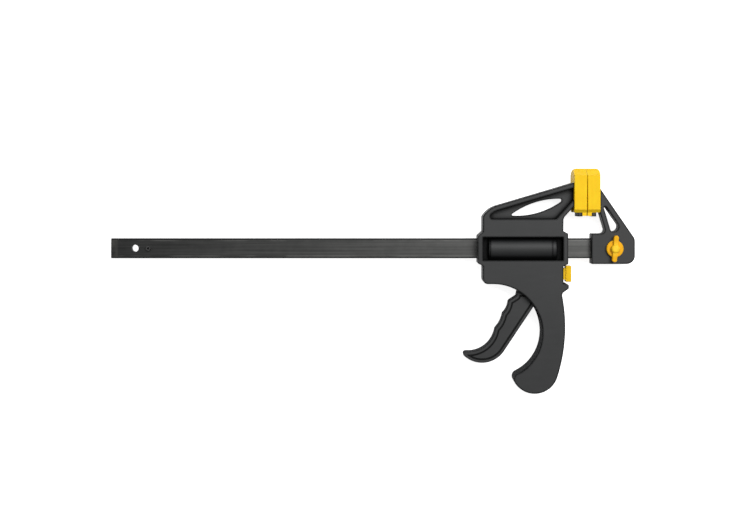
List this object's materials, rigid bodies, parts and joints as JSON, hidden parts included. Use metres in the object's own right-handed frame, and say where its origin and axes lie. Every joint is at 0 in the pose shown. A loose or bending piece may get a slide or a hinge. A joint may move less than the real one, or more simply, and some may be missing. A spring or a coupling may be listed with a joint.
{
  "type": "quick release bar clamp",
  "caption": "One-handed quick release bar clamp: flat steel bar, fixed jaw with wing knob, sliding pistol-grip jaw with trigger, release button and soft jaw pads.",
  "frame": {"origin": "on the bar's axis where the two pads meet with the jaws closed, in the middle of the clamp's thickness", "axes": "+X along the bar towards the fixed jaw, +Y towards the tips of the jaws, +Z out of the side with the wing knob"},
  "size_m": [0.4769, 0.2041, 0.0356],
  "materials": {
    "bar_steel": "blackened, drawn lengthwise, satin",
    "spring_steel": "oiled spring steel",
    "plated_steel": "bright zinc plated",
    "case_plastic": "fine spark-eroded texture",
    "pad_rubber": "smooth, slightly glossy",
    "knob_plastic": "smooth moulded"
  },
  "bodies": {
    "bar": {"bar": "bar_steel", "stop_pin": "spring_steel", "fixed_jaw": "case_plastic", "fixed_jaw_pad": "pad_rubber", "lock_nut": "plated_steel"},
    "moving_jaw": {"housing_front": "case_plastic", "housing_back": "case_plastic", "housing_screws": "plated_steel", "moving_jaw_pad": "pad_rubber", "trigger_pin": "plated_steel", "drive_spring": "spring_steel", "brake_spring": "spring_steel"},
    "trigger": {"trigger": "case_plastic"},
    "drive": {"drive_plate_left": "plated_steel", "drive_plate_right": "plated_steel"},
    "button": {"release_button": "knob_plastic"},
    "brake": {"brake_plate": "plated_steel"},
    "washer": {"lock_washer": "plated_steel"},
    "knob": {"lock_knob": "knob_plastic", "lock_screw": "plated_steel"}
  },
  "joints": [
    {"name": "jaw_slide", "type": "slide", "parent": "bar", "child": "moving_jaw", "axis": [-1, 0, 0], "range_m": [0, 0.2975]},
    {"name": "trigger_pivot", "type": "hinge", "parent": "moving_jaw", "child": "trigger", "pos_m": [-0.044, -0.028, 0], "axis": [0, 0, 1], "range_deg": [0, 17], "stiffness_Nm_per_rad": 0.6, "springref_deg": -8.59},
    {"name": "drive_slide", "type": "slide", "parent": "moving_jaw", "child": "drive", "axis": [-1, 0, 0], "range_m": [0, 0.0039], "deforming": ["drive_spring"]},
    {"name": "button_slide", "type": "slide", "parent": "moving_jaw", "child": "button", "axis": [-1, 0, 0], "range_m": [0, 0.0025], "stiffness_N_per_m": 1500, "springref_m": -0.0015},
    {"name": "brake_tilt", "type": "hinge", "parent": "moving_jaw", "child": "brake", "pos_m": [-0.0315, 0.0132, 0], "axis": [0, 0, -1], "range_deg": [0, 3.93], "deforming": ["brake_spring"]},
    {"name": "lock_travel", "type": "slide", "parent": "bar", "child": "washer", "axis": [0, 0, 1], "range_m": [0, 0.004]},
    {"name": "knob_turn", "type": "hinge", "parent": "washer", "child": "knob", "pos_m": [0.0251, 0, 0], "axis": [0, 0, 1], "range_deg": [0, 1441]}
  ],
  "couplings": [
    {"joint": "drive_slide", "follows": "trigger_pivot", "m_per_rad": 0.01301},
    {"joint": "brake_tilt", "follows": "button_slide", "rad_per_m": 27.43},
    {"joint": "knob_turn", "follows": "lock_travel", "rad_per_m": 6283.2}
  ]
}
